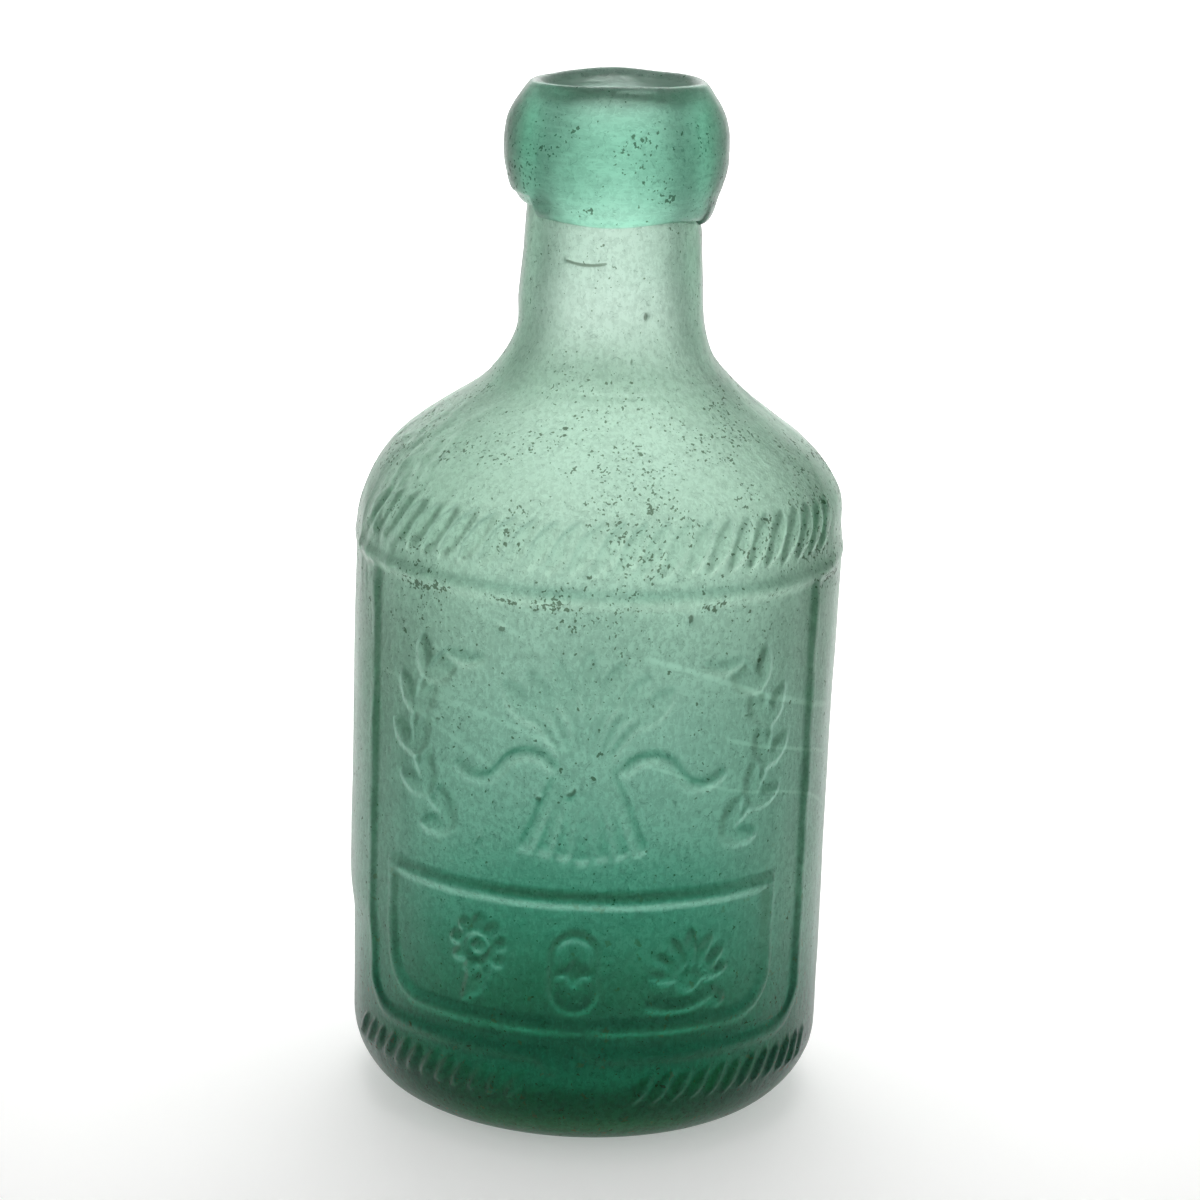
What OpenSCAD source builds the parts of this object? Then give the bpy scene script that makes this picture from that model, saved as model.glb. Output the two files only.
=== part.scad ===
// Squat blob-top mineral water bottle, mould blown, with a separately applied lip.
// Origin: centre of the circle the bottle stands on. +Z is up, the front of the bottle faces -Y.
// Every "relief" module is glass that stands proud of the vessel wall: it was cut into the mould.

/* [Body] */
// Diameter of the body at the shoulder
body_d = 80; // [76:0.5:84]
// How much narrower the body is just above the heel
body_draft = 0.8; // [0:0.1:2]
// Radius of the rounded heel
heel_round = 12; // [9:0.5:14]
// Height at which the shoulder starts to turn in
shoulder_z = 94; // [88:0.5:96]
// Radius of the shoulder arc
shoulder_round = 22.6; // [20:0.2:24]

/* [Neck] */
// Length of the straight flank between the shoulder arc and the neck arc
flank = 9.4; // [6:0.2:11]
// Radius of the hollow arc that runs up into the neck
neck_round = 20.4; // [18:0.2:22]
// Diameter of the neck where the hollow arc ends
neck_d = 30; // [29:0.2:32]
// Diameter of the neck at its broken-off end, inside the lip
neck_end_d = 26; // [25:0.2:27]

/* [Lip] */
// Overall height of the bottle
height = 170; // [168:0.5:176]
// Height of the applied lip
lip_h = 22; // [20:0.5:23]
// Diameter of the blob
lip_d = 36.8; // [36:0.2:39]
// Radius of the fire-polished rim
rim_round = 1.1; // [0.8:0.1:1.3]

/* [Inside] */
// Diameter of the cork bore
bore_d = 20; // [18:0.5:20]
// Length of the cork bore
bore_l = 22; // [16:1:24]
// Wall thickness at the shoulder and neck
wall = 4; // [3:0.2:4.4]
// Wall thickness just above the heel
heel_wall = 5.2; // [4:0.2:6]
// Radius inside the heel
inner_heel_round = 11; // [8:0.5:14]
// Thickness of the bottom
bottom_t = 8; // [5:0.5:10]
// Rise of the domed kick-up under the bottom
kick_up = 4; // [2:0.5:6]
// Diameter of the kick-up, inside the resting ring
kick_d = 48; // [40:1:50]

/* [Relief] */
// Height of the frame lines, the friezes and the emblems
relief_h = 0.6; // [0.3:0.05:0.8]
// Height of the softer picture in the middle of the panel
soft_h = 0.45; // [0.2:0.05:0.6]
// Height of the shoulder ring, the proudest feature of the body
ring_h = 0.7; // [0.7:0.05:1]
// Height of the mould seams
seam_h = 0.2; // [0.1:0.05:0.3]
// Width of the frame lines
line_w = 2.1; // [1.4:0.1:2.6]
// Width of the shoulder ring
ring_w = 2.8; // [2:0.1:3.4]
// Azimuth of the panel's side lines, right and left of the front
panel_az = 62; // [56:1:64]
// Height of the panel's lower line
panel_z = 18; // [17:0.5:19]
// Azimuth of the cartouche's side lines
cartouche_az = 50; // [46:1:52]
// Heights of the cartouche's lower and upper lines
cartouche_z = [23, 44.5]; // [20:0.5:50]
// Radius of the rounded lower corners of panel and cartouche
corner_round = 7; // [5:0.5:8]

/* [Hidden] */
$fn = 96;

glass = [0.42, 0.70, 0.60];
lip_glass = [0.24, 0.60, 0.50];
relief_glass = [0.62, 0.85, 0.76];

body_r = body_d / 2;
heel_r = body_r - body_draft / 2;
bore_r = bore_d / 2;
neck_r = neck_d / 2;
far = 60;
overlap = 1;

// Centres of the shoulder arc and of the neck arc, as [radius, height]
shoulder_c = [body_r - shoulder_round, shoulder_z];
arc_gap = sqrt(pow(shoulder_round + neck_round, 2) + pow(flank, 2));
neck_c_r = neck_r + neck_round;
neck_c = [neck_c_r, shoulder_z + sqrt(pow(arc_gap, 2) - pow(neck_c_r - shoulder_c[0], 2))];
// Slope angle at which both arcs meet the straight flank
flank_a = atan2(neck_c[1] - shoulder_c[1], neck_c[0] - shoulder_c[0])
    - acos((shoulder_round + neck_round) / arc_gap);

// Lip: a ball around mid_z, a rim circle and a flare circle that touch each other smoothly
lip_z = height - lip_h;
neck_end_z = height - 7;
ball_r = lip_d / 2;
mid_z = height - 11.4;
foot_round = 1;
rim_z = height - rim_round;
rim_c = [sqrt(pow(ball_r - rim_round, 2) - pow(rim_z - mid_z, 2)), rim_z];
foot_c = [sqrt(pow(ball_r - foot_round, 2) - pow(mid_z - lip_z - foot_round, 2)), lip_z + foot_round];
rim_in = bore_r - rim_c[0];
rim_up = rim_z - neck_end_z;
flare_round = (pow(rim_round, 2) - pow(rim_in, 2) - pow(rim_up, 2)) / (2 * (rim_in + rim_round));
flare_c = [bore_r + flare_round, neck_end_z];

// Radii of the spheres that shape the kick-up outside and the floor inside
kick_round = (pow(kick_d / 2, 2) + pow(kick_up, 2)) / (2 * kick_up);

// Angle that a frame's rounded corner takes up round the body
corner_a = 2 * asin(corner_round / 2 / body_r);
// How far a line stops short of the curve that continues it, inside the curve's straight tail
lap_a = 1;

// Gadroon frieze on the shoulder: first azimuth, step, count, lower and upper height
shoulder_band = [-67.5, 5.4, 26, 97.4, 106.2];
// Frieze on the heel, mirrored left and right of the front
heel_band = [15, 4.8, 12, 9.4, 15.2];

function polar(r, a) = [r * cos(a), r * sin(a)];
function deg_of(arc) = arc / body_r * 180 / PI;

// ---------- outlines of revolution ----------

// Half outline of the bottle from the foot to the neck, moved in by inset from the outer wall
module half_outline(inset, low_r, foot_z, foot_r, neck_pts) {
    top_r = body_r - inset;
    s_round = shoulder_round - inset;
    n_round = neck_round + inset;
    // heel and body
    translate([low_r - foot_r, foot_z + foot_r]) circle(foot_r);
    polygon([[0, foot_z], [low_r - foot_r, foot_z], [low_r, foot_z + foot_r],
        [top_r, shoulder_z], [0, shoulder_z]]);
    // shoulder arc
    intersection() {
        translate(shoulder_c) circle(s_round);
        translate([0, shoulder_z]) square([far, s_round + overlap]);
    }
    // flank and hollow arc
    difference() {
        polygon([[0, shoulder_z], shoulder_c, shoulder_c + polar(s_round, flank_a),
            neck_c - polar(n_round, flank_a), [neck_c[0] - n_round, neck_c[1]], [0, neck_c[1]]]);
        translate(neck_c) circle(n_round);
    }
    // neck
    polygon(concat([[0, neck_c[1]], [neck_c[0] - n_round, neck_c[1]]], neck_pts));
}

// Outer wall, grown outwards by grow
module outer_outline(grow) {
    half_outline(-grow, heel_r + grow, -grow, heel_round + grow,
        [[neck_end_d / 2 + grow, neck_end_z], [0, neck_end_z]]);
}

// Section of a skin of thickness t that lies on the outer wall between two heights
module skin_section(t, z0, z1) {
    intersection() {
        difference() {
            outer_outline(t);
            outer_outline(0);
        }
        translate([0, z0]) square([far, z1 - z0]);
    }
}

// Skin between two heights and two azimuths
module skin_sector(t, z0, z1, az0, az1) {
    rotate([0, 0, az0 - 90]) rotate_extrude(angle = az1 - az0) skin_section(t, z0, z1);
}

// Flat drawing at an azimuth, pushed outwards: x runs round the bottle, y is the height
module at_azimuth(az) {
    rotate([0, 0, az]) translate([0, -far / 4, 0]) rotate([90, 0, 0]) linear_extrude(far) children();
}

// Drawings cut out of a skin of thickness t
module raised(t, z0, z1) {
    intersection() {
        rotate_extrude() skin_section(t, z0, z1);
        union() children();
    }
}

// ---------- flat drawing pieces ----------

// Leaf of length l and width w from the origin along +y
module leaf(l, w) {
    r = (l * l + w * w) / (4 * w);
    intersection() {
        translate([r - w / 2, l / 2]) circle(r);
        translate([w / 2 - r, l / 2]) circle(r);
    }
}

// Straight stroke of width w
module stroke(p, q, w) {
    d = q - p;
    translate(p) rotate(atan2(d[1], d[0])) translate([0, -w / 2]) square([norm(d), w]);
}

// Arc stroke of radius r and width w from angle a0 to a1
module arc_stroke(r, w, a0, a1) {
    sweep = a1 - a0;
    intersection() {
        difference() {
            circle(r + w / 2);
            circle(r - w / 2);
        }
        polygon(concat([[0, 0]], [for (i = [0:6]) polar(3 * r, a0 + sweep * i / 6)]));
    }
}

module lozenge(w, h) {
    polygon([[w / 2, 0], [0, h / 2], [-w / 2, 0], [0, -h / 2]]);
}

// One leaf of a gadroon frieze of height h: all its leaves lean the same way, like the lay of a rope
module gadroon(h) {
    lean = 32;
    l = 1.06 * h;
    rotate(-lean) translate([0, -l / 2]) leaf(l, 0.3 * h);
}

// ---------- the two pieces of glass ----------

// Blown vessel: body, shoulder and neck in one, hollow, with a domed bottom
module vessel() {
    color(glass) rotate_extrude() difference() {
        outer_outline(0);
        translate([0, kick_up - kick_round]) circle(kick_round, $fn = 180);
        cavity_outline();
    }
}

module cavity_outline() {
    difference() {
        half_outline(wall, heel_r - heel_wall, bottom_t, inner_heel_round,
            [[bore_r, neck_end_z - bore_l], [bore_r, height], [0, height]]);
        translate([0, kick_up - kick_round]) circle(kick_round + bottom_t, $fn = 180);
    }
}

// Lip: a separate gather of glass wound round the end of the neck and tooled to a ball
module applied_lip() {
    color(lip_glass) rotate_extrude() {
        difference() {
            intersection() {
                translate([0, mid_z]) circle(ball_r);
                lip_reach();
            }
            outer_outline(0);
            mouth_outline();
        }
        translate(rim_c) circle(rim_round, $fn = 48);
        difference() {
            translate(foot_c) circle(foot_round, $fn = 48);
            outer_outline(0);
        }
    }
}

// Where the ball counts: above the foot circle and below the rim circle
module lip_reach() {
    out_dir = (rim_c - [0, mid_z]) / (ball_r - rim_round);
    in_dir = (rim_c - flare_c) / (flare_round - rim_round);
    foot_dir = (foot_c - [0, mid_z]) / (ball_r - foot_round);
    polygon([[0, lip_z + foot_round], foot_c, foot_c + far * foot_dir, [far, mid_z],
        rim_c + far * out_dir, rim_c, rim_c + 5 * in_dir, [0, rim_c[1] + 5 * in_dir[1]]]);
}

// Space of the flared mouth above the end of the neck
module mouth_outline() {
    difference() {
        translate([0, neck_end_z]) square([flare_c[0], far]);
        translate(flare_c) circle(flare_round);
    }
}

// ---------- raised ornament of the vessel ----------

// Half-round ring where the shoulder meets the body
module relief_shoulder_ring() {
    r = (pow(ring_w / 2, 2) + pow(ring_h, 2)) / (2 * ring_h);
    color(relief_glass) rotate_extrude() difference() {
        translate([body_r + ring_h - r, shoulder_z]) circle(r, $fn = 48);
        outer_outline(0);
    }
}

// Gadroon frieze round the front of the shoulder
module relief_shoulder_band() {
    h = shoulder_band[4] - shoulder_band[3];
    color(relief_glass) raised(relief_h, shoulder_band[3], shoulder_band[4])
        for (i = [0:shoulder_band[2] - 1])
            at_azimuth(shoulder_band[0] + i * shoulder_band[1])
                translate([0, shoulder_band[3] + h / 2]) gadroon(h);
}

// The same frieze on the heel, left and right of the place where the panel's halves curl apart
module relief_heel_band() {
    h = heel_band[4] - heel_band[3];
    color(relief_glass) raised(relief_h, heel_band[3], heel_band[4])
        for (side = [-1, 1], i = [0:heel_band[2] - 1])
            at_azimuth(side * (heel_band[0] + i * heel_band[1]))
                translate([0, heel_band[3] + h / 2]) gadroon(h);
}

// Line of width line_w round the bottle at height z, a hair thinner than the curves it runs into
module level_line(z, az0, az1) {
    hair = 0.02;
    rotate([0, 0, az0 - 90]) rotate_extrude(angle = az1 - az0)
        translate([far / 3, z - line_w / 2 + hair]) square([far / 2, line_w - 2 * hair]);
}

// Side line of a frame with its rounded lower corner: azimuth az, from height z up to z1
module frame_side(az, z, z1) {
    side = sign(az);
    tail = 1.5;
    at_azimuth(az - side * corner_a / 2)
        translate([-side * corner_round / 2, z]) mirror([side < 0 ? 1 : 0, 0]) {
            translate([corner_round - line_w / 2, corner_round]) square([line_w, z1 - z - corner_round]);
            translate([0, corner_round]) arc_stroke(corner_round, line_w, -90, 0);
            translate([-tail, -line_w / 2]) square([tail, line_w]);
        }
}

// End of a line that comes from the left and curls down
module curled_end(r) {
    tail = 1.5;
    translate([-tail, -line_w / 2]) square([tail, line_w]);
    translate([0, -r]) arc_stroke(r, line_w, 10, 90);
}

// Frame round the picture panel, hanging from the shoulder ring. Its halves curl apart at the foot.
module relief_panel_frame() {
    inner = panel_az - corner_a - lap_a;
    curl_r = 4;
    curl_az = [-12, 6];
    color(relief_glass) raised(relief_h, panel_z - curl_r - line_w / 2, shoulder_z - ring_w / 2) {
        frame_side(-panel_az, panel_z, shoulder_z);
        frame_side(panel_az, panel_z, shoulder_z);
        level_line(panel_z, -inner, curl_az[0] - lap_a);
        level_line(panel_z, curl_az[1] + lap_a, inner);
        at_azimuth(curl_az[0]) translate([0, panel_z]) curled_end(curl_r);
        at_azimuth(curl_az[1]) translate([0, panel_z]) rotate(180) curled_end(curl_r);
    }
}

// Cartouche in the lower part of the panel: square upper corners, round lower ones
module relief_cartouche_frame() {
    inner = cartouche_az - corner_a - lap_a;
    shift = -2;
    low = cartouche_z[0];
    high = cartouche_z[1];
    color(relief_glass) raised(relief_h, low - line_w, high + line_w) rotate([0, 0, shift]) {
        frame_side(cartouche_az, low, high + line_w / 2);
        frame_side(-cartouche_az, low, high + line_w / 2);
        level_line(low, -inner, inner);
        level_line(high, -cartouche_az, cartouche_az);
    }
}

// Round flower on a stem with one leaf, left in the cartouche
module relief_flower() {
    petals = 9;
    color(relief_glass) raised(relief_h, 24.5, 43)
        at_azimuth(-26) translate([0.6, 35]) {
            for (i = [0:petals - 1]) rotate(i * 360 / petals) translate([0, 2.7]) leaf(2.4, 2);
            difference() {
                circle(3.3);
                circle(2.1);
            }
            circle(1.1, $fn = 24);
            stroke([-0.6, -2.8], [-2.4, -9.6], 1.3);
            translate([-2.2, -9.2]) rotate(-40) leaf(6.5, 2.2);
        }
}

// Plain oval medallion with a lozenge, in the middle of the cartouche
module relief_medallion() {
    h = 5.8;
    color(relief_glass) raised(relief_h, 24.5, 43)
        at_azimuth(-2) translate([0, 32.2]) {
            difference() {
                oval(3.9, h);
                oval(2.8, h);
            }
            lozenge(2.8, 5);
            translate([-3.2, -0.45]) square([6.4, 0.9]);
        }
}

// Oval with half-round ends of radius r, whose ends are centred h apart
module oval(r, h) {
    translate([0, h / 2]) circle(r);
    translate([0, -h / 2]) circle(r);
    translate([-r, -h / 2]) square([2 * r, h]);
}

// Palmette over a curved base, right in the cartouche
module relief_palmette() {
    lobes = 7;
    color(relief_glass) raised(relief_h, 24.5, 43)
        at_azimuth(24) translate([1, 30.6]) {
            for (i = [0:lobes - 1])
                rotate((i - (lobes - 1) / 2) * -27) translate([0, 1.7]) leaf(6.8 - abs(i - 3) * 0.5, 1.9);
            circle(2);
            translate([-2.4, 8]) arc_stroke(12.6, 1.7, -112, -56);
            translate([5.4, -4.3]) circle(1.1, $fn = 24);
        }
}

// Sheaf of wheat in the middle of the panel: splayed straw, a tie and a fan of ears
module relief_sheaf() {
    waist_z = 67;
    color(relief_glass) raised(soft_h, 49, 89)
        at_azimuth(-1) translate([0, waist_z]) {
            for (i = [-3:3]) {
                stroke([i * 1.1, 0], [i * 3.1, -16 + 0.5 * abs(i)], 1.9);
                stroke([i * 0.9, 0], [i * 2.6, 8.5 - 0.5 * abs(i)], 1.2);
                translate([i * 2.6, 7.6 - 0.5 * abs(i)]) rotate(-i * 14) leaf(11 - 0.8 * abs(i), 3.6);
            }
            stroke([-4.4, 0.4], [4.4, 0.4], 2.4);
        }
}

// Leafy spray, right of the sheaf; its mirror image stands on the left
module spray() {
    leaves = 6;
    stem_r = 17;
    for (i = [0:leaves - 1]) {
        a = -62 + i * 23;
        az = 21 + deg_of(stem_r * cos(a));
        z = 69 + stem_r * sin(a);
        at_azimuth(az) translate([0, z]) {
            rotate(a - 34) leaf(7.2, 3);
            rotate(a + 34) leaf(7.2, 3);
            stroke([0, 0], polar(6.4, a + 101), 1.1);
        }
    }
}

module relief_sprays() {
    color(relief_glass) raised(soft_h, 49, 91) {
        spray();
        mirror([1, 0, 0]) spray();
    }
}

// Loose ribbon ends that trail from the tie of the sheaf to both sides
module relief_ribbon() {
    color(relief_glass) raised(soft_h, 49, 89)
        for (side = [0, 1]) mirror([side, 0, 0])
            at_azimuth(14) translate([0, 68.4]) {
                translate([0, -5]) arc_stroke(5, 1.6, 28, 152);
                translate([8.6, -0.4]) arc_stroke(4.8, 1.6, 208, 322);
            }
}

// Two mould seams up the sides, and the faint ring where the mould ended on the neck
module mould_seams() {
    seam_w = 0.8;
    w = deg_of(seam_w) / 2;
    ring_gap = ring_w / 2;
    neck_line_z = 121.5;
    color(relief_glass) {
        for (side = [-90, 90]) {
            skin_sector(seam_h, 6, shoulder_z - ring_gap, side - w, side + w);
            skin_sector(seam_h, shoulder_z + ring_gap, lip_z - 1, side - w, side + w);
        }
        rotate_extrude() skin_section(seam_h, neck_line_z, neck_line_z + 0.6);
    }
}

vessel();
applied_lip();
relief_shoulder_ring();
relief_shoulder_band();
relief_panel_frame();
relief_cartouche_frame();
relief_flower();
relief_medallion();
relief_palmette();
relief_sheaf();
relief_sprays();
relief_ribbon();
relief_heel_band();
mould_seams();
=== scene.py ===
"""Looks of a squat blob-top bottle of weathered aqua glass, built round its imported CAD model.

The bottle is two pieces of glass: the blown vessel with everything that stands proud of it, and the lip
that was applied to its neck. Both are grids of rings and columns swept from the CAD sections, with the
mould relief, the sag of hand-blown glass and its wear in the mesh. Heights and lengths are in millimetres
until a mesh is made. Azimuth is in degrees from the front (-Y) towards +X.
"""
import math

import bmesh
import bpy
import numpy as np
from mathutils import Matrix, Vector, noise
from mathutils.bvhtree import BVHTree


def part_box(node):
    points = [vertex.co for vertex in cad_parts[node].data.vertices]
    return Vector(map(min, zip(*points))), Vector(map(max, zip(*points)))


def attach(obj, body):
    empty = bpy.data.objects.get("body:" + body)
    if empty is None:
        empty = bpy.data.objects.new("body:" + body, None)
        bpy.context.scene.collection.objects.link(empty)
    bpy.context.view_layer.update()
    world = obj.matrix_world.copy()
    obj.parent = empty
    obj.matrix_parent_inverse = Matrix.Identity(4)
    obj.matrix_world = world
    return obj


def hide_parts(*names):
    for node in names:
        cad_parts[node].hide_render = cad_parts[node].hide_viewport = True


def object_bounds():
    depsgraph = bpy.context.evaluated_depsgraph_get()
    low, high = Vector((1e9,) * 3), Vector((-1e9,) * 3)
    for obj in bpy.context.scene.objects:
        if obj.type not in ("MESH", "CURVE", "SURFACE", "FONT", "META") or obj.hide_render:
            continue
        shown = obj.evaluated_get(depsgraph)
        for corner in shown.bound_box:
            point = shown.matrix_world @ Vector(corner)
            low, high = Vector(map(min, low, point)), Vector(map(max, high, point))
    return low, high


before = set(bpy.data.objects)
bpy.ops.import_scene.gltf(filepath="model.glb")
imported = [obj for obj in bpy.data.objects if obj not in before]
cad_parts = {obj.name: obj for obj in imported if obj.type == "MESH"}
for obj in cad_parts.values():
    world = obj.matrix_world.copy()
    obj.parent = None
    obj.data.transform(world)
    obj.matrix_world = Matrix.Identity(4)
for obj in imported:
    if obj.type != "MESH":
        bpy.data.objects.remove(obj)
cad_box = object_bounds()

MM = 0.001
RELIEF = [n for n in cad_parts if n.startswith("relief_")] + ["mould_seams"]
HEIGHT = cad_box[1].z / MM
LIP_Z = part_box("applied_lip")[0].z / MM
RING_Z = sum(c.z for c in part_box("relief_shoulder_ring")) / 2 / MM
BODY_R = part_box("vessel")[1].x / MM

# Camera: where it stands in metres, how it looks down and aside and leans in radians, and its lens in
# millimetres
CAMERA_AT = (0.0, -0.6133, 0.2546)
CAMERA_PITCH = 0.2728
CAMERA_YAW = 0.001
CAMERA_ROLL = 0.0370
CAMERA_LENS = 115.5

# Glow of the paper sweep: all round, what is added behind the bottle, and what is added again up its wall
GLOW_ALL_ROUND = 0.04
GLOW_BEHIND = 0.95
GLOW_UP_WALL = 1.9

# The lamp over the sweep, in metres and watts, and the grey of the room
SOFTBOX_AT = (0, 0.35, 1.25)
SOFTBOX_SIZE = 0.9
SOFTBOX_POWER = 6
ROOM_GREY = 0.43

# Joint of the two pieces of glass: its height, the gap between them, and the bevel on the rims of both
JOINT_Z = LIP_Z + 0.3
JOINT_GAP = 0.04
JOINT_BEVEL = 0.04

# Heights of the bruise in the neck, and of the stretches that have close rings
BRUISE_Z = 141.6
BRUISE_RINGS = (139, 145)
MOULD_END_RINGS = (120.4, 123.2)


# ---------- sections of the CAD model ----------

def node_bmesh(names):
    """One bmesh of the named CAD nodes, with the vertices that the import split put together again."""
    bm = bmesh.new()
    for name in names:
        bm.from_mesh(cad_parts[name].data)
    bmesh.ops.remove_doubles(bm, verts=bm.verts, dist=0.002 * MM)
    return bm


def section(name):
    """Half section of a node through its axis: (radius, height) points in order, in millimetres."""
    bm = node_bmesh([name])
    turn = math.radians(17)
    across = Vector((math.cos(turn), math.sin(turn), 0))
    cut = bmesh.ops.bisect_plane(bm, geom=bm.verts[:] + bm.edges[:] + bm.faces[:], dist=1e-7,
                                 plane_co=(0, 0, 0), plane_no=(-across.y, across.x, 0))
    links = {}
    for item in cut["geom_cut"]:
        if isinstance(item, bmesh.types.BMEdge):
            a, b = [(round(v.co.dot(across) / MM, 4), round(v.co.z / MM, 4)) for v in item.verts]
            if min(a[0], b[0]) > -0.001:
                links.setdefault(a, []).append(b)
                links.setdefault(b, []).append(a)
    bm.free()
    ends = [p for p in links if len(links[p]) == 1]
    start = min(ends or links, key=lambda p: (p[1], p[0]))
    path, seen = [start], {start}
    while True:
        ahead = [p for p in links[path[-1]] if p not in seen]
        if not ahead:
            break
        step = max(ahead) if len(path) == 1 else ahead[0]
        path.append(step)
        seen.add(step)
    return np.array(path)


def resample(points, spacing):
    """The same line with evenly spaced points."""
    along = np.r_[0, np.cumsum(np.hypot(*np.diff(points, axis=0).T))]
    count = max(2, int(round(along[-1] / spacing)) + 1)
    s = np.linspace(0, along[-1], count)
    return np.c_[np.interp(s, along, points[:, 0]), np.interp(s, along, points[:, 1])]


def softened(points, sigma, spacing=0.1):
    """The line with its facets and sharp corners rounded by a Gaussian; its ends stay where they are."""
    line = resample(points, spacing)
    reach = int(4 * sigma / spacing)
    padded = np.r_[2 * line[0] - line[reach:0:-1], line, 2 * line[-1] - line[-2:-reach - 2:-1]]
    kernel = np.exp(-0.5 * (np.arange(-reach, reach + 1) * spacing / sigma) ** 2)
    kernel /= kernel.sum()
    return np.c_[np.convolve(padded[:, 0], kernel, "valid"), np.convolve(padded[:, 1], kernel, "valid")]


def spaced(points, spacing_at):
    """The line with a point every spacing_at(radius, height)."""
    density = np.array([1 / spacing_at(r, z) for r, z in points])
    length = np.hypot(*np.diff(points, axis=0).T)
    count = np.r_[0, np.cumsum(length * (density[1:] + density[:-1]) / 2)]
    s = np.linspace(0, count[-1], int(count[-1]) + 1)
    return np.c_[np.interp(s, count, points[:, 0]), np.interp(s, count, points[:, 1])]


def outward(points):
    """Normals of the line that point out of the glass."""
    t = np.gradient(points, axis=0)
    n = np.c_[t[:, 1], -t[:, 0]]
    return n / np.maximum(np.hypot(n[:, 0], n[:, 1]), 1e-9)[:, None]


# ---------- fields over the surface ----------

def smoothstep(x, low, high):
    t = np.clip((x - low) / (high - low), 0, 1)
    return t * t * (3 - 2 * t)


def window(x, low, high, soft):
    """1 between low and high, falling to 0 over soft on both sides."""
    return smoothstep(x, low - soft, low) * (1 - smoothstep(x, high, high + soft))


def turned(az, centre):
    """Azimuth measured from centre, from -180 to 180."""
    return (az - centre + 180) % 360 - 180


def field(r, z, az, size, seed, stretch=(1, 1)):
    """Smooth noise from -1 to 1 on the surface. size is its grain; stretch lengthens it round and up."""
    out = np.empty(r.shape)
    a = np.radians(az)
    x = (r * np.sin(a) / size / stretch[0]).ravel()
    y = (-r * np.cos(a) / size / stretch[0]).ravel()
    h = (z / size / stretch[1]).ravel()
    flat = out.reshape(-1)
    for i in range(flat.size):
        flat[i] = noise.noise((x[i] + seed, y[i] - seed, h[i] + 0.5 * seed))
    return out


def blur(values, sigma, axis, wrap):
    """The grid of values blurred by a Gaussian of sigma cells along one axis, which may run round."""
    reach = int(3 * sigma)
    total, weight = np.zeros_like(values), 0.0
    for k in range(-reach, reach + 1):
        w = math.exp(-0.5 * (k / sigma) ** 2)
        moved = np.roll(values, k, axis)
        if not wrap and k:
            edge = [slice(None)] * values.ndim
            edge[axis] = slice(0, k) if k > 0 else slice(k, None)
            moved[tuple(edge)] = 0
        total += w * moved
        weight += w
    return total / weight


class ReliefMap:
    """How far the mould's ornament stands proud of the vessel, sampled from the CAD relief nodes."""

    spacing = 0.25
    columns = 1000
    probe = 1.6

    def __init__(self, line, low, high):
        keep = (line[:, 1] > low) & (line[:, 1] < high)
        self.line = resample(line[keep], self.spacing)
        normals = outward(self.line)
        bm = node_bmesh(RELIEF)
        tree = BVHTree.FromBMesh(bm)
        bm.free()
        self.values = np.zeros((len(self.line), self.columns))
        turns = [math.radians(360 * j / self.columns) for j in range(self.columns)]
        for i, ((r, z), (nr, nz)) in enumerate(zip(self.line, normals)):
            for j, a in enumerate(turns):
                out = Vector((math.sin(a) * nr, -math.cos(a) * nr, nz))
                start = Vector((math.sin(a) * r, -math.cos(a) * r, z)) + out * self.probe
                hit = tree.ray_cast(start * MM, -out, self.probe * MM)
                if hit[3] is not None:
                    self.values[i, j] = self.probe - hit[3] / MM

    def soften(self, sigma):
        """Round the ornament's edges over sigma millimetres of height, and as many cells of its turn."""
        cells = sigma / self.spacing
        self.values = blur(blur(self.values, cells, 0, False), cells, 1, True)

    def at(self, z, az):
        """Height of the relief at heights z and azimuths az, which are arrays of one shape."""
        row = np.interp(z, self.line[:, 1], np.arange(len(self.line)))
        column = (az % 360) / 360 * self.columns
        i, j = np.floor(row).astype(int), np.floor(column).astype(int)
        fi, fj = row - i, column - j
        i1 = np.minimum(i + 1, len(self.line) - 1)
        j0, j1 = j % self.columns, (j + 1) % self.columns
        v = self.values
        low = v[i, j0] * (1 - fj) + v[i, j1] * fj
        high = v[i1, j0] * (1 - fj) + v[i1, j1] * fj
        inside = (z > self.line[0, 1]) & (z < self.line[-1, 1])
        return np.where(inside, low * (1 - fi) + high * fi, 0)


# ---------- grids of rings and columns ----------

def columns():
    """Azimuths of the mesh columns: close over the relief and the side seams, wide apart elsewhere."""
    fine, coarse = 0.66, 4.0
    stretches = [(-180, -92, coarse), (-92, -88, fine), (-88, -76, coarse), (-76, 76, fine),
                 (76, 88, coarse), (88, 92, fine), (92, 180, coarse)]
    return np.concatenate([np.linspace(low, high, round((high - low) / step), endpoint=False)
                           for low, high, step in stretches])


def swept(line, az):
    """Radius, height and azimuth of each point of a section swept round, as arrays [ring, column]."""
    r, a = np.meshgrid(line[:, 0], az, indexing="ij")
    z = np.repeat(line[:, 1:2], len(az), 1)
    return r, z, a


def hang(r, z, az):
    """Where the points stand in the bottle's own set: neck and lip lean, the shoulders sag unevenly."""
    a = np.radians(az)
    x, y = r * np.sin(a), -r * np.cos(a)
    right, left = np.cos(np.radians(turned(az, 90))), np.cos(np.radians(turned(az, -90)))
    right, left = np.clip(right, 0, 1) ** 1.5, np.clip(left, 0, 1) ** 1.5
    grow = 1.3 * right * window(z, 104, 119, 7)
    grow = grow - 0.7 * left * window(z, 121, 128, 6)
    grow = grow - 0.7 * left * window(z, 7, 28, 8)
    lean = 0.6 * smoothstep(z, 112, 132)
    return x + grow * np.sin(a) + lean, y - grow * np.cos(a)


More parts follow.
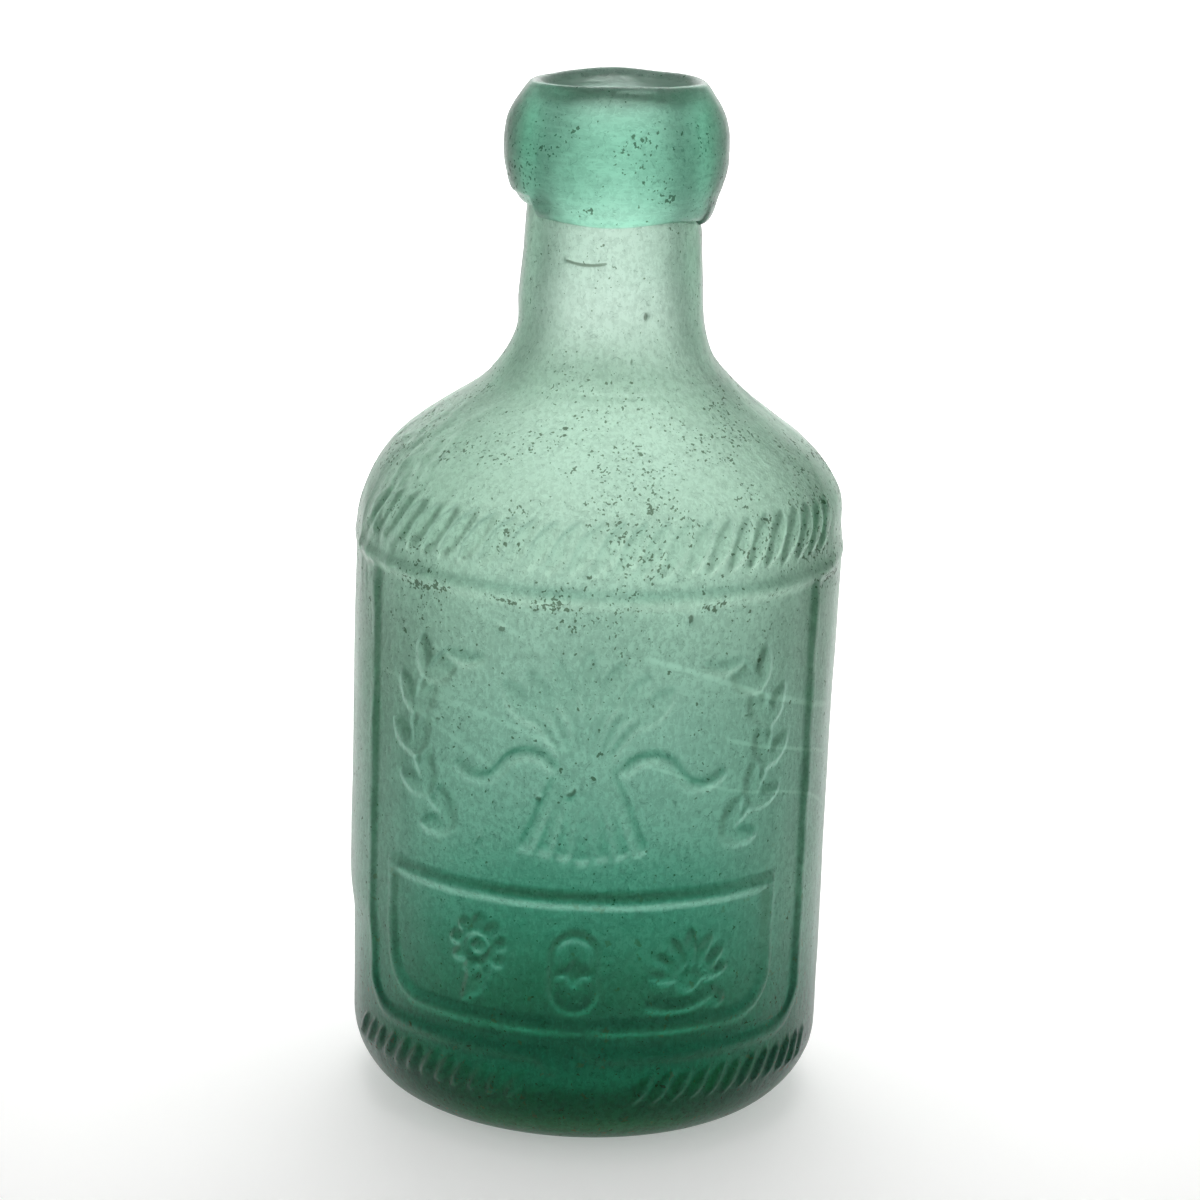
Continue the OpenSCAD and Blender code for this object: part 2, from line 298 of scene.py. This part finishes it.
def lip_edge(z, az):
    """How far the lip's hand-tooled lower edge runs above or below its CAD height."""
    uneven = 0.75 + 0.25 * np.cos(np.radians(turned(az, -60) * 3))
    notch = 1.5 * window(turned(az, -78), -40, 22.5, 2) * uneven
    corner = -0.7 * window(turned(az, 80), -9, 9, 6)
    wave = 0.25 * np.sin(np.radians(turned(az, 10) * 3)) - 0.15 * np.cos(np.radians(az * 5))
    return (notch + corner + wave) * window(z, LIP_Z - 0.6, LIP_Z + 1.2, 2.6)


def grid_mesh(name, x, y, z, closed_ring):
    """Mesh of a grid [ring, column]. Its first and last ring are poles, or joined where closed_ring is set.

    The lip's rings run the other way at the joint, so its cells are split along the other diagonal: the two
    faces of the joint then have the same triangles and stay parallel.
    """
    rings, cols = x.shape
    verts, faces = [], []
    index = np.empty((rings, cols), int)
    for i in range(rings):
        pole = not closed_ring and i in (0, rings - 1)
        if pole:
            index[i] = len(verts)
            verts.append((x[i].mean() * MM, y[i].mean() * MM, z[i].mean() * MM))
        else:
            index[i] = np.arange(len(verts), len(verts) + cols)
            verts.extend(zip((x[i] * MM).tolist(), (y[i] * MM).tolist(), (z[i] * MM).tolist()))
    for i in range(rings if closed_ring else rings - 1):
        k = (i + 1) % rings
        for j in range(cols):
            m = (j + 1) % cols
            corners = [int(c) for c in (index[i, j], index[i, m], index[k, m], index[k, j])]
            p, q, r, s = corners[1:] + corners[:1] if closed_ring else corners
            faces += [triangle for triangle in ((p, q, r), (p, r, s)) if len(set(triangle)) == 3]
    mesh = bpy.data.meshes.new(name)
    mesh.from_pydata(verts, [], faces)
    mesh.polygons.foreach_set("use_smooth", [True] * len(mesh.polygons))
    mesh.update()
    piece = bpy.data.objects.new(name, mesh)
    bpy.context.scene.collection.objects.link(piece)
    return piece, index


def set_attribute(piece, index, name, values):
    """A number for each vertex of a grid, which the material reads."""
    flat = np.zeros(len(piece.data.vertices), np.float32)
    flat[index.ravel()] = values.ravel()
    piece.data.attributes.new(name, "FLOAT", "POINT").data.foreach_set("value", flat)


# ---------- the vessel ----------

# Burst bubbles and chips in the skin: azimuth, height, radius, depth, and the way their open side faces
PITS = [(-21.5, 88.4, 0.6, 0.45, 60), (21.4, 90.8, 0.7, 0.45, 200), (-12.4, 65.4, 0.35, 0.25, 30),
        (-11.6, 61.6, 0.75, 0.3, 80), (-4.3, 62.9, 0.9, 0.3, 130), (-26.2, 53.2, 0.55, 0.3, 150),
        (20.2, 133.7, 0.8, 0.45, 230), (14, 127, 0.4, 0.3, 20), (16.8, 124.7, 0.4, 0.3, 90),
        (-38, 71, 0.5, 0.25, 300), (33, 36, 0.5, 0.2, 10), (-29, 83, 0.4, 0.25, 120),
        (38, 74, 0.5, 0.25, 70)]


def pits(r, z, az):
    """Depth of the pits at each point: each is a crescent, deepest away from its open side."""
    depth = np.zeros(r.shape)
    for at, height, radius, deep, opening in PITS:
        x, y = np.radians(turned(az, at)) * r, z - height
        away = np.hypot(x, y)
        rim = np.exp(-((away - 0.7 * radius) / (0.45 * radius)) ** 2)
        side = np.cos(np.arctan2(y, x) - math.radians(opening))
        depth = np.maximum(depth, deep * rim * smoothstep(-side, -0.7, 0.3))
    return depth


def bruise(r, z, az):
    """Depth of a crescent bruise in the neck, like a fingernail mark."""
    along = np.radians(turned(az, -17.5)) * r
    across = z - BRUISE_Z - 0.035 * along ** 2
    return 0.3 * np.exp(-(across / 0.32) ** 2) * window(along, -3.2, 3.2, 0.8)


def worn_relief(relief, r, z, az):
    """The mould's relief as wear has left it: uneven, faint at the sides, the sprays' top leaves gone."""
    wear = np.clip(0.85 + 0.5 * field(r, z, az, 9, 3.1), 0.45, 1.0)
    panel = window(z, 22, 90, 2)
    raised = relief.at(z, az) * wear * (1 + 0.3 * panel)
    raised = raised * (1 - 0.6 * smoothstep(np.abs(az), 64, 82))
    return raised * (1 - 0.95 * window(np.abs(az), 20, 38, 3) * window(z, 84, 90, 1.8))


def blown_skin(r, z, az):
    """How far the outside runs from true: a slow sag, ripples, and whittle marks on shoulder and neck."""
    sag = 0.22 * (field(r, z, az, 26, 11.7) - 0.55)
    ripple = 0.07 * field(r, z, az, 6, 5.3, (1, 1.6))
    whittled = window(turned(az, -66), -12, 12, 10) * window(z, 92, 110, 8)
    whittled = whittled + 0.35 * window(z, 100, 122, 10) * (1 - smoothstep(np.abs(az), 95, 120))
    whittle = 0.22 * field(r, z, az, 2.1, 8.8, (1, 4.5)) * whittled
    return sag + ripple + whittle


def vessel_line():
    """Sections of the vessel up to the joint: its outside, and its inside from the joint down."""
    line = section("vessel")
    top = int(np.argmax(line[:, 1]))
    outer, inner = softened(line[:top + 1], 0.6), softened(line[top:], 0.8)
    outer = outer[outer[:, 1] < JOINT_Z]
    inner = inner[int(np.argmax(inner[:, 1] < JOINT_Z)):]
    return outer, inner


def outer_spacing(r, z):
    """Distance between rings on the outside: closest where the bruise is and where the mould ended."""
    if r < BODY_R - 14 and z < 8:
        return 2.2
    if z < 9:
        return 0.9
    if BRUISE_RINGS[0] < z < BRUISE_RINGS[1] or MOULD_END_RINGS[0] < z < MOULD_END_RINGS[1]:
        return 0.28
    return 0.6 if z < 110 else 1.0


def inner_spacing(r, z):
    """Distance between rings on the inside."""
    return 3.0 if z < 120 else 2.2


def make_vessel(outer, inner, relief):
    """The vessel: outside, the bevelled land of the joint, and inside, in one closed mesh."""
    out_ring, in_ring = spaced(outer, outer_spacing), spaced(inner, inner_spacing)
    out_ring[-1] = (outer[-1][0], JOINT_Z)
    in_ring[0] = (inner[0][0], JOINT_Z)
    lands = np.array([out_ring[-1] - [0, JOINT_BEVEL], out_ring[-1] - [JOINT_BEVEL, 0],
                      in_ring[0] + [JOINT_BEVEL, 0], in_ring[0] - [0, JOINT_BEVEL]])
    line = np.r_[out_ring[:-1], lands, in_ring[1:]]
    normal = outward(line)
    normal[len(out_ring) - 1:len(out_ring) + 3] = 0
    nr, nz = normal[:, 0:1], normal[:, 1:2]

    r, z, a = swept(line, columns())
    inside = np.zeros(r.shape)
    inside[len(out_ring) + 1:] = 1
    outside = 1 - inside
    calm = 1 - window(z, JOINT_Z - 4, JOINT_Z + 4, 3)
    raised = worn_relief(relief, r, z, a) * outside
    outer_push = blown_skin(r, z, a) * calm * outside
    inner_push = 0.55 * field(r, z, a, 19, 21.4, (1, 1.3)) * calm * inside * smoothstep(r, 3, 14)
    cuts = (pits(r, z, a) + bruise(r, z, a)) * outside * (z > 5)
    foot = smoothstep(z, 0.5, 5) * outside + inside
    push = (raised + outer_push + inner_push - cuts) * foot

    high = z + push * nz
    high = high + lip_edge(high, a)
    x, y = hang(r + push * nr, high, a)
    piece, index = grid_mesh("vessel_glass", x, y, np.maximum(high, 0), False)
    set_attribute(piece, index, "inside", inside)
    set_attribute(piece, index, "pocket", cuts / 0.35)
    return piece


# ---------- the lip ----------

def lip_line():
    """Section of the lip from the bottom of its foot over ball, rim and mouth to the neck's end."""
    line = section("applied_lip")
    neck_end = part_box("vessel")[1].z / MM
    mouth = int(np.argmin(np.hypot(line[:, 0] - line[:, 0].min(), line[:, 1] - neck_end)))
    return line[:mouth + 1]


def lip_spacing(r, z):
    """Distance between rings: closer on the ball and the rim than in the bore."""
    return 0.6 if r > 10.5 else 1.5


def make_lip(neck_r, bore_r):
    """The lip in one closed mesh: the joint's land from bore_r to neck_r, then foot, ball, rim and bore."""
    low = JOINT_Z + JOINT_GAP
    shell = softened(np.r_[lip_line(), [(bore_r, low + JOINT_BEVEL)]], 0.25)
    shell = spaced(shell, lip_spacing)
    land = [(bore_r + JOINT_BEVEL, low), (neck_r - JOINT_BEVEL, low), (neck_r, low - JOINT_BEVEL)]
    line = np.r_[land, shell]
    normal = outward(line)
    normal[:5] = 0
    normal[-2:] = 0
    nr, nz = normal[:, 0:1], normal[:, 1:2]

    r, z, a = swept(line, columns())
    inside = np.zeros(r.shape)
    inside[int(np.argmax(line[:, 1])) + 5:] = 1
    outside = 1 - inside
    clear = smoothstep(z, JOINT_Z + 0.5, JOINT_Z + 3)
    sag = 0.35 * field(r, z, a, 13, 31.9) + 0.1 * field(r, z, a, 5, 2.2)
    tooling = 0.07 * field(r, z, a, 1.6, 14.6, (14, 1))
    inner_push = 0.25 * field(r, z, a, 8, 41.2) * inside * clear
    shrink = 0.25
    push = ((sag + tooling) * outside * clear + inner_push - shrink) * clear
    rounding = 0.3 * smoothstep(z, HEIGHT - 7, HEIGHT - 0.5) * outside
    dip = 0.45 * np.cos(np.radians(turned(a, 35))) - 0.3 * np.cos(np.radians(2 * turned(a, 80))) - 0.33

    high = z + push * nz
    high = high + dip * smoothstep(z, HEIGHT - 9, HEIGHT)
    high = high + lip_edge(z, a)
    x, y = hang(r + push * nr - rounding, high, a)
    piece, index = grid_mesh("lip_glass", x, y, high, True)
    set_attribute(piece, index, "inside", inside)
    set_attribute(piece, index, "pocket", np.zeros(r.shape))
    return piece


# ---------- materials ----------

class Shader:
    """A material whose nodes are added with short calls. Values may be numbers or sockets."""

    def __init__(self, name):
        self.material = bpy.data.materials.new(name)
        self.material.use_nodes = True
        self.tree = self.material.node_tree
        self.tree.nodes.clear()
        self.output = self.node("ShaderNodeOutputMaterial")
        self.place = self.node("ShaderNodeTexCoord").outputs["Object"]

    def node(self, kind, **settings):
        made = self.tree.nodes.new(kind)
        for key, value in settings.items():
            setattr(made, key, value)
        return made

    def put(self, value, socket):
        if isinstance(value, bpy.types.NodeSocket):
            self.tree.links.new(value, socket)
        else:
            socket.default_value = value

    def math(self, operation, a, b=0.0):
        made = self.node("ShaderNodeMath", operation=operation)
        self.put(a, made.inputs[0])
        self.put(b, made.inputs[1])
        return made.outputs[0]

    def add(self, a, b):
        return self.math("ADD", a, b)

    def subtract(self, a, b):
        return self.math("SUBTRACT", a, b)

    def times(self, a, b):
        return self.math("MULTIPLY", a, b)

    def most(self, a, b):
        return self.math("MAXIMUM", a, b)

    def noise(self, grain, detail, roughness=0.5, scale=(1, 1, 1)):
        """Noise with features about grain millimetres across, longer on an axis whose scale is below 1."""
        place = self.node("ShaderNodeVectorMath", operation="MULTIPLY")
        self.put(self.place, place.inputs[0])
        place.inputs[1].default_value = scale
        made = self.node("ShaderNodeTexNoise")
        self.put(place.outputs[0], made.inputs["Vector"])
        made.inputs["Scale"].default_value = 1 / (grain * MM)
        made.inputs["Detail"].default_value = detail
        made.inputs["Roughness"].default_value = roughness
        return made.outputs["Fac"]

    def xyz(self):
        """X, Y and Z of the point in the bottle's frame, in metres."""
        made = self.node("ShaderNodeSeparateXYZ")
        self.put(self.place, made.inputs[0])
        return made.outputs["X"], made.outputs["Y"], made.outputs["Z"]

    def step(self, value, low, high):
        """0 below low, 1 above high and smooth between; with low above high it falls instead."""
        made = self.node("ShaderNodeMapRange", interpolation_type="SMOOTHSTEP")
        turned_round = low > high
        self.put(value, made.inputs["Value"])
        made.inputs["From Min"].default_value = min(low, high)
        made.inputs["From Max"].default_value = max(low, high)
        made.inputs["To Min"].default_value = 1.0 if turned_round else 0.0
        made.inputs["To Max"].default_value = 0.0 if turned_round else 1.0
        return made.outputs["Result"]

    def near(self, value, middle, width):
        """1 where value is close to middle and 0 away from it, so that a noise draws thin wavy lines."""
        return self.step(self.math("ABSOLUTE", self.subtract(value, middle)), width, 0.2 * width)

    def mix(self, factor, a, b):
        made = self.node("ShaderNodeMix", data_type="RGBA")
        self.put(factor, made.inputs[0])
        for value, socket in ((a, made.inputs[6]), (b, made.inputs[7])):
            self.put(value if isinstance(value, bpy.types.NodeSocket) else (*value, 1.0), socket)
        return made.outputs[2]

    def darkened(self, colour, shade):
        """The colour multiplied by a grey shade."""
        made = self.node("ShaderNodeMix", data_type="RGBA", blend_type="MULTIPLY")
        made.inputs[0].default_value = 1.0
        self.put(colour, made.inputs[6])
        self.put(shade, made.inputs[7])
        return made.outputs[2]

    def attribute(self, name):
        return self.node("ShaderNodeAttribute", attribute_name=name).outputs["Fac"]


# Long light scratches on the body, as (azimuth, height) of both ends, width in millimetres and strength
SCRATCHES = [((10, 84.5), (80, 67.5), 0.75, 0.9), ((30, 70.8), (80, 59.5), 0.55, 0.7),
             ((12, 66.5), (82, 51.5), 0.45, 0.6), ((-62, 78), (4, 68.2), 0.9, 0.5),
             ((-50, 74), (-16, 62), 0.8, 0.4), ((-30, 90), (-8, 84.5), 0.8, 0.4)]

# Colours of the skin: dark specks and pockets of grime, brown dirt low down, and scuffed glass
SPECK = (0.035, 0.04, 0.012)
DIRT = (0.22, 0.16, 0.04)
SCUFFED = (0.95, 1.0, 0.98)

# Tints of the skin at heights from the foot up, and what each metre of the glass takes from red, green and
# blue light. The vessel's tints darken towards the foot partly for its heavier glass and partly as painted
# shade, and are near white on the shoulder and neck as painted light.
VESSEL_TINTS_WITH_PAINTED_LIGHT = [(0, (0.015, 0.43, 0.29)), (16, (0.055, 0.46, 0.35)), (41, (0.58, 0.74, 0.715)),
                (86, (0.72, 0.775, 0.75)), (100, (0.95, 0.97, 0.95)), (118, (1.0, 1.0, 0.99)),
                (134, (0.95, 0.925, 0.935))]
VESSEL_ABSORBED = (78, 30, 54)
LIP_TINTS = [(158, (0.88, 0.91, 0.885)), (167, (1.0, 0.97, 0.96))]
LIP_ABSORBED = (88, 32, 50)

# Scale of the fine marks on X, Y and Z: they run up the vessel, and round the lip
VESSEL_MARKS = (1, 1, 0.5)
LIP_MARKS = (0.25, 0.25, 1)


def scratches(s, grain):
    """How much of the surface the long scratches have scuffed, from 0 to 1; grain breaks them up."""
    x_m, y_m, z_m = s.xyz()
    round_front = s.times(s.math("ARCTAN2", x_m, s.times(y_m, -1)), BODY_R)
    waver = s.times(s.subtract(s.noise(22, 0), 0.5), 5)
    height = s.add(s.math("DIVIDE", z_m, MM), waver)
    broken = s.step(grain, 0.32, 0.55)
    total = 0.0
    for (az0, z0), (az1, z1), width, strength in SCRATCHES:
        x0, x1 = math.radians(az0) * BODY_R, math.radians(az1) * BODY_R
        length = math.hypot(x1 - x0, z1 - z0)
        along_x, along_z = (x1 - x0) / length, (z1 - z0) / length
        x, y = s.subtract(round_front, x0), s.subtract(height, z0)
        across = s.subtract(s.times(y, along_x), s.times(x, along_z))
        along = s.add(s.times(x, along_x), s.times(y, along_z))
        ends = s.times(s.step(along, 0, 4), s.step(along, length, length - 8))
        line = s.times(s.step(s.math("ABSOLUTE", across), width, 0), ends)
        total = s.most(total, s.times(line, strength))
    return s.times(total, s.add(0.35, s.times(broken, 0.65)))


def colour_up(s, tints, height):
    """Surface colour that changes smoothly with height; tints are (height, colour) from the foot up."""
    colour = tints[0][1]
    for (low, _), (high, above) in zip(tints, tints[1:]):
        colour = s.mix(s.step(height, low, high), colour, above)
    return colour


def frosting(s, z, cloud, grain, marks):
    """Shade of the weathered skin: grey, a little lighter from 98 mm up as painted light, with pale flecks
    on it, darker marks and thin creases.
    """
    folds = s.noise(3.0, 2, 0.65)
    frosted = s.step(cloud, 0.42, 0.62)
    flecks = s.times(s.step(grain, 0.46, 0.60), s.add(0.45, s.times(frosted, 0.55)))
    flecks = s.most(flecks, s.step(marks, 0.54, 0.64))
    flecks = s.most(flecks, s.times(s.near(folds, 0.47, 0.02), s.step(grain, 0.40, 0.50)))
    creases = s.times(s.near(folds, 0.56, 0.012), s.step(grain, 0.56, 0.44))
    # Painted light: the grey is lighter from 98 mm up, over the upper shoulder, neck and lip
    ground_with_painted_light = s.add(0.68, s.times(s.step(z, 98, 112), 0.08))
    shade = s.add(ground_with_painted_light, s.times(flecks, 0.30))
    shade = s.subtract(shade, s.times(s.step(marks, 0.44, 0.34), 0.12))
    return s.subtract(shade, s.times(creases, 0.32))


def specks(s, crowding):
    """Dark crumbs and larger spots, more of them where crowding is high."""
    crowd = s.times(s.step(s.noise(8, 1), 0.40, 0.62), crowding)
    crumbs = s.step(s.add(s.noise(0.7, 1, 0.6), s.times(crowd, 0.15)), 0.735, 0.775)
    spots = s.step(s.add(s.noise(1.7, 2, 0.65), s.times(crowd, 0.09)), 0.72, 0.74)
    return s.most(crumbs, spots)


def dirt(s, z, cloud, outside):
    """Patches of brown dirt on the outside of the body, low down."""
    patches = s.step(s.add(s.noise(2.6, 3, 0.65), s.times(cloud, 0.1)), 0.70, 0.74)
    return s.times(patches, s.times(s.step(z, 58, 34), outside))


def glass(name, tints, absorbed, crowding, marks_scale, scuffs=None):
    """Old aqua glass: coloured in its depth, clouded, scratched and pitted on its outer surface.

    absorbed is what each metre of glass takes from red, green and blue; crowding(s, z) says where dark
    specks crowd; marks_scale draws the fine marks out along the piece; scuffs adds its own scratches.
    """
    s = Shader(name)
    z = s.math("DIVIDE", s.xyz()[2], MM)
    inside = s.attribute("inside")
    outside = s.subtract(1.0, inside)
    cloud = s.noise(14, 2)
    grain = s.noise(1.1, 3, 0.7)
    marks = s.noise(0.7, 2, 0.6, marks_scale)

    # On the vessel this tint by height holds painted shade low down and painted light on the shoulder and
    # neck
    tint = colour_up(s, tints, s.add(z, s.times(s.subtract(cloud, 0.5), 14)))
    shade = frosting(s, z, cloud, grain, marks)
    if scuffs:
        scuffed = scuffs(s, grain)
        tint = s.mix(s.times(scuffed, 0.7), tint, SCUFFED)
        shade = s.add(shade, s.times(scuffed, 0.6))
    tint = s.darkened(tint, s.math("MINIMUM", s.add(shade, inside), 1.0))
    speck = s.times(specks(s, crowding(s, z)), outside)
    pocket = s.step(s.attribute("pocket"), 0.25, 0.7)
    stain = s.most(s.times(speck, 0.9), s.times(pocket, 0.8))
    tint = s.mix(stain, tint, SPECK)
    tint = s.mix(s.times(dirt(s, z, cloud, outside), 0.6), tint, DIRT)

    rough = s.add(s.add(0.27, s.times(cloud, 0.1)), s.times(stain, 0.3))
    bump = s.node("ShaderNodeBump")
    bump.inputs["Strength"].default_value = 0.5
    bump.inputs["Distance"].default_value = 0.2 * MM
    s.put(s.add(grain, s.times(marks, 0.4)), bump.inputs["Height"])

    skin = s.node("ShaderNodeBsdfPrincipled")
    skin.inputs["Transmission Weight"].default_value = 0.95
    skin.inputs["IOR"].default_value = 1.5
    skin.inputs["Specular Tint"].default_value = (0.25, 0.5, 0.42, 1)
    s.put(tint, skin.inputs["Base Color"])
    s.put(rough, skin.inputs["Roughness"])
    s.put(bump.outputs["Normal"], skin.inputs["Normal"])
    s.put(skin.outputs[0], s.output.inputs["Surface"])

    depth = s.node("ShaderNodeVolumeAbsorption")
    density = max(absorbed) * 1.15
    depth.inputs["Color"].default_value = (*[1 - a / density for a in absorbed], 1.0)
    depth.inputs["Density"].default_value = density
    s.put(depth.outputs[0], s.output.inputs["Volume"])
    return s.material


def body_crowding(s, z):
    """Specks crowd on the shoulder and along the lower edge of its ring."""
    shoulder = s.times(s.step(z, 74, 97), s.step(z, 130, 112))
    ring = s.times(s.step(z, RING_Z - 2.4, RING_Z - 1.6), s.step(z, RING_Z - 0.2, RING_Z - 1.0))
    return s.add(s.add(0.25, s.times(shoulder, 0.55)), s.times(ring, 0.7))


def lip_crowding(s, z):
    """Specks crowd on the middle of the ball."""
    ball = s.times(s.step(z, HEIGHT - 3, HEIGHT - 7), s.step(z, LIP_Z, LIP_Z + 4))
    return s.times(ball, 0.8)


# ---------- stage, light and camera ----------

def plain_sweep():
    """Round sheet of paper that the bottle stands on, bent up into a wall all round. In metres."""
    flat, bend, top = 0.45, 0.75, 1.5
    line = [(0.0, 0.0), (flat, 0.0)]
    line += [(flat + bend * math.sin(math.radians(t)), bend - bend * math.cos(math.radians(t)))
             for t in range(6, 91, 6)]
    line += [(flat + bend, top)]
    bm = bmesh.new()
    verts = [bm.verts.new((r, 0, z)) for r, z in line]
    edges = [bm.edges.new(pair) for pair in zip(verts, verts[1:])]
    bmesh.ops.spin(bm, geom=verts + edges, cent=(0, 0, 0), axis=(0, 0, 1), angle=2 * math.pi, steps=72,
                   use_merge=True)
    bmesh.ops.remove_doubles(bm, verts=bm.verts, dist=1e-5)
    mesh = bpy.data.meshes.new("sweep")
    bm.to_mesh(mesh)
    bm.free()
    mesh.polygons.foreach_set("use_smooth", [True] * len(mesh.polygons))
    mesh.materials.append(paper())
    made = bpy.data.objects.new("sweep", mesh)
    bpy.context.scene.collection.objects.link(made)


def paper():
    """Pale paper that glows like a lit backdrop in a fan behind the bottle, brighter up its wall."""
    s = Shader("pale_paper")
    x, y, z = s.xyz()
    slant = s.math("DIVIDE", s.math("ABSOLUTE", x), s.add(y, 0.65))
    fan = s.times(s.step(y, -0.3, 0.4), s.step(slant, 0.34, 0.13))
    up_wall = s.step(z, 0.0, 1.1)
    glow = s.add(GLOW_BEHIND, s.times(up_wall, GLOW_UP_WALL))
    glow = s.add(GLOW_ALL_ROUND, s.times(fan, glow))
    skin = s.node("ShaderNodeBsdfPrincipled")
    skin.inputs["Base Color"].default_value = (0.68, 0.68, 0.675, 1)
    skin.inputs["Roughness"].default_value = 0.9
    skin.inputs["Emission Color"].default_value = (1, 1, 0.995, 1)
    s.put(glow, skin.inputs["Emission Strength"])
    s.put(skin.outputs[0], s.output.inputs["Surface"])
    # Light paths find so wide a glow without being aimed at it, and the picture is made sooner
    s.material.cycles.emission_sampling = "NONE"
    return s.material


def light():
    """Soft light from a lamp over the sweep, in a grey room."""
    world = bpy.data.worlds.new("room")
    world.use_nodes = True
    room = world.node_tree.nodes["Background"]
    room.inputs["Color"].default_value = (ROOM_GREY, ROOM_GREY, ROOM_GREY, 1)
    bpy.context.scene.world = world
    data = bpy.data.lights.new("softbox_top", "AREA")
    data.shape = "SQUARE"
    data.size = SOFTBOX_SIZE
    data.energy = SOFTBOX_POWER
    lamp = bpy.data.objects.new("softbox_top", data)
    lamp.location = SOFTBOX_AT
    lamp.rotation_euler = (Vector() - Vector(SOFTBOX_AT)).to_track_quat("-Z", "Y").to_euler()
    bpy.context.scene.collection.objects.link(lamp)


def camera():
    """The camera, and plain colours in its picture."""
    level = math.cos(CAMERA_PITCH)
    ahead = Vector((math.sin(CAMERA_YAW) * level, math.cos(CAMERA_YAW) * level, -math.sin(CAMERA_PITCH)))
    right = ahead.cross(Vector((0, 0, 1))).normalized()
    up = right.cross(ahead)
    across = math.cos(CAMERA_ROLL) * right + math.sin(CAMERA_ROLL) * up
    above = math.cos(CAMERA_ROLL) * up - math.sin(CAMERA_ROLL) * right
    data = bpy.data.cameras.new("camera")
    data.lens = CAMERA_LENS
    data.clip_start = 0.01
    made = bpy.data.objects.new("camera", data)
    turn = Matrix((across, above, -ahead)).transposed()
    made.matrix_world = Matrix.Translation(CAMERA_AT) @ turn.to_4x4()
    bpy.context.scene.collection.objects.link(made)
    bpy.context.scene.camera = made
    bpy.context.scene.view_settings.view_transform = "Standard"


# ---------- the bottle ----------

camera()
light()
plain_sweep()

vessel_outer, vessel_inner = vessel_line()
relief_map = ReliefMap(vessel_outer, 5, JOINT_Z)
relief_map.soften(0.22)

vessel = make_vessel(vessel_outer, vessel_inner, relief_map)
vessel_glass = glass("vessel_glass", VESSEL_TINTS_WITH_PAINTED_LIGHT, VESSEL_ABSORBED, body_crowding, VESSEL_MARKS, scratches)
vessel.data.materials.append(vessel_glass)
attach(vessel, "root")
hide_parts("vessel", *RELIEF)

lip = make_lip(vessel_outer[-1][0], vessel_inner[0][0])
lip.data.materials.append(glass("lip_glass", LIP_TINTS, LIP_ABSORBED, lip_crowding, LIP_MARKS))
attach(lip, "root")
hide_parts("applied_lip")
